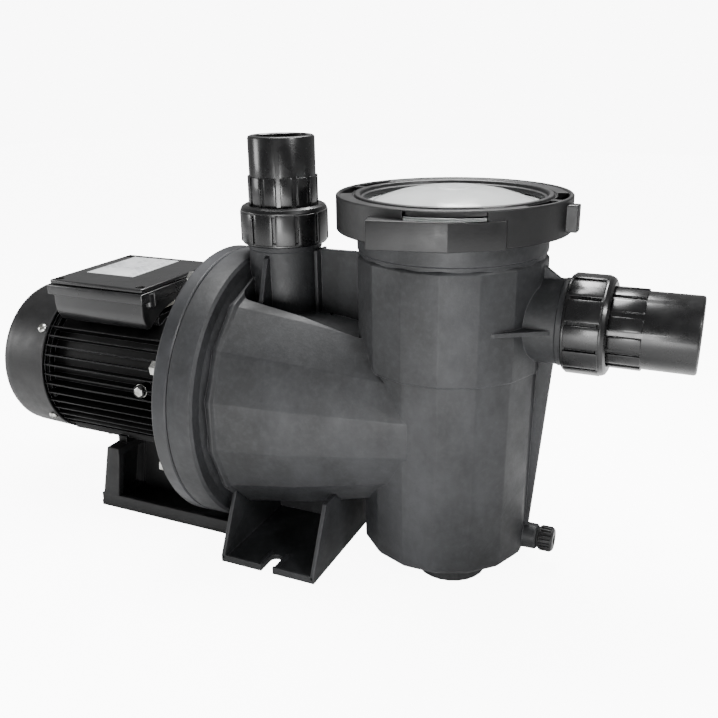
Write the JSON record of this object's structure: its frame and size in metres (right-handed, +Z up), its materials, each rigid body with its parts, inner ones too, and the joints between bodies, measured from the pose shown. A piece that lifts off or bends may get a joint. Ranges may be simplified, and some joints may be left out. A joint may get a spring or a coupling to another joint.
{
  "type": "swimming pool pump",
  "caption": "Self-priming pool circulation pump with a strainer pot under a clear lid, union ports, a finned fan-cooled motor and a plastic base.",
  "frame": {"origin": "on the ground, under the middle of the pump's overall length, on its plane of symmetry", "axes": "+X from the motor towards the suction port, +Z up, Y across the pump; the shaft runs along X"},
  "size_m": [0.697, 0.279, 0.3932],
  "materials": {
    "body_plastic": "moulded glass-filled polypropylene, matte, mottled",
    "plate_plastic": "moulded glass-filled polypropylene, slightly lighter satin",
    "base_plastic": "moulded polypropylene, matte black",
    "ring_plastic": "moulded plastic, dark grey satin",
    "union_plastic": "moulded ABS, glossy black",
    "drain_plastic": "moulded plastic, knurled, dark grey",
    "cover_plastic": "moulded plastic, dark grey satin",
    "box_plastic": "moulded plastic, black satin",
    "motor_paint": "die-cast aluminium, black paint",
    "lid_clear": "injection-moulded clear polycarbonate",
    "basket_plastic": "moulded white polypropylene",
    "inner_plastic": "moulded plastic, black",
    "cast_aluminium": "die-cast, bare",
    "zinc_steel": "zinc-plated steel",
    "shaft_steel": "ground stainless steel",
    "lamination": "stacked electrical steel, varnished",
    "copper": "enamelled copper winding",
    "rubber": "moulded EPDM",
    "ceramic": "lapped ceramic",
    "electrical_white": "moulded white plastic",
    "label": "silver foil label, satin"
  },
  "bodies": {
    "pump": {"pump_body": "body_plastic", "pump_foot": "body_plastic", "seal_plate": "plate_plastic", "motor_base": "base_plastic", "casing_o_ring": "rubber", "seal_seat": "ceramic", "diffuser": "inner_plastic", "motor_housing": "motor_paint", "front_shield": "cast_aluminium", "rear_shield": "motor_paint", "front_bearing": "shaft_steel", "rear_bearing": "shaft_steel", "stator_core": "lamination", "rear_winding": "copper", "front_winding": "copper", "fan_cover": "cover_plastic", "terminal_box": "box_plastic", "terminal_gasket": "rubber", "terminal_lid": "box_plastic", "rating_plate": "label", "terminal_block": "electrical_white", "capacitor": "electrical_white", "cable_gland": "box_plastic", "lid_o_ring": "rubber", "suction_o_ring": "rubber", "discharge_o_ring": "rubber", "cover_screw_1": "zinc_steel", "cover_screw_2": "zinc_steel", "cover_screw_3": "zinc_steel", "cover_screw_4": "zinc_steel", "lid_screw_1": "zinc_steel", "lid_screw_2": "zinc_steel", "lid_screw_3": "zinc_steel", "lid_screw_4": "zinc_steel", "flange_bolt_1": "zinc_steel", "flange_bolt_2": "zinc_steel", "flange_bolt_3": "zinc_steel", "flange_bolt_4": "zinc_steel", "flange_bolt_5": "zinc_steel", "flange_bolt_6": "zinc_steel", "flange_bolt_7": "zinc_steel", "flange_bolt_8": "zinc_steel", "cradle_bolt_1": "zinc_steel", "cradle_bolt_2": "zinc_steel"},
    "rotor": {"shaft": "shaft_steel", "rotor_core": "lamination", "seal_ring": "rubber", "impeller": "inner_plastic", "cooling_fan": "inner_plastic"},
    "basket": {"strainer_basket": "basket_plastic"},
    "lid": {"clear_lid": "lid_clear"},
    "ring": {"lock_ring": "ring_plastic"},
    "suction_tail": {"suction_tail": "union_plastic"},
    "suction_nut": {"suction_nut": "union_plastic"},
    "discharge_tail": {"discharge_tail": "union_plastic"},
    "discharge_nut": {"discharge_nut": "union_plastic"},
    "drain_seal": {"drain_seal": "rubber"},
    "drain_plug": {"drain_plug": "drain_plastic"}
  },
  "joints": [
    {"name": "shaft_spin", "type": "hinge", "parent": "pump", "child": "rotor", "pos_m": [-0.20455, 0, 0.1425], "axis": [1, 0, 0], "continuous": true},
    {"name": "basket_lift", "type": "slide", "parent": "pump", "child": "basket", "axis": [0, 0, 1], "range_m": [0, 0.31]},
    {"name": "lid_lift", "type": "slide", "parent": "basket", "child": "lid", "axis": [0, 0, 1], "range_m": [0, 0.12]},
    {"name": "lock_ring_turn", "type": "hinge", "parent": "lid", "child": "ring", "pos_m": [0.13545, 0, 0.333], "axis": [0, 0, 1], "range_deg": [-5, 60]},
    {"name": "suction_union_pull", "type": "slide", "parent": "pump", "child": "suction_tail", "axis": [1, 0, 0], "range_m": [0, 0.06]},
    {"name": "suction_nut_turn", "type": "hinge", "parent": "suction_tail", "child": "suction_nut", "pos_m": [0.26645, 0, 0.2422], "axis": [1, 0, 0], "range_deg": [-180, 180]},
    {"name": "discharge_union_pull", "type": "slide", "parent": "pump", "child": "discharge_tail", "axis": [0, 0, 1], "range_m": [0, 0.06]},
    {"name": "discharge_nut_turn", "type": "hinge", "parent": "discharge_tail", "child": "discharge_nut", "pos_m": [-0.03345, 0, 0.318], "axis": [0, 0, 1], "range_deg": [-180, 180]},
    {"name": "drain_plug_pull", "type": "slide", "parent": "pump", "child": "drain_seal", "axis": [1, 0, 0], "range_m": [0, 0.03]},
    {"name": "drain_plug_turn", "type": "hinge", "parent": "drain_seal", "child": "drain_plug", "pos_m": [0.23545, 0, 0.027], "axis": [1, 0, 0], "range_deg": [-180, 180]}
  ]
}
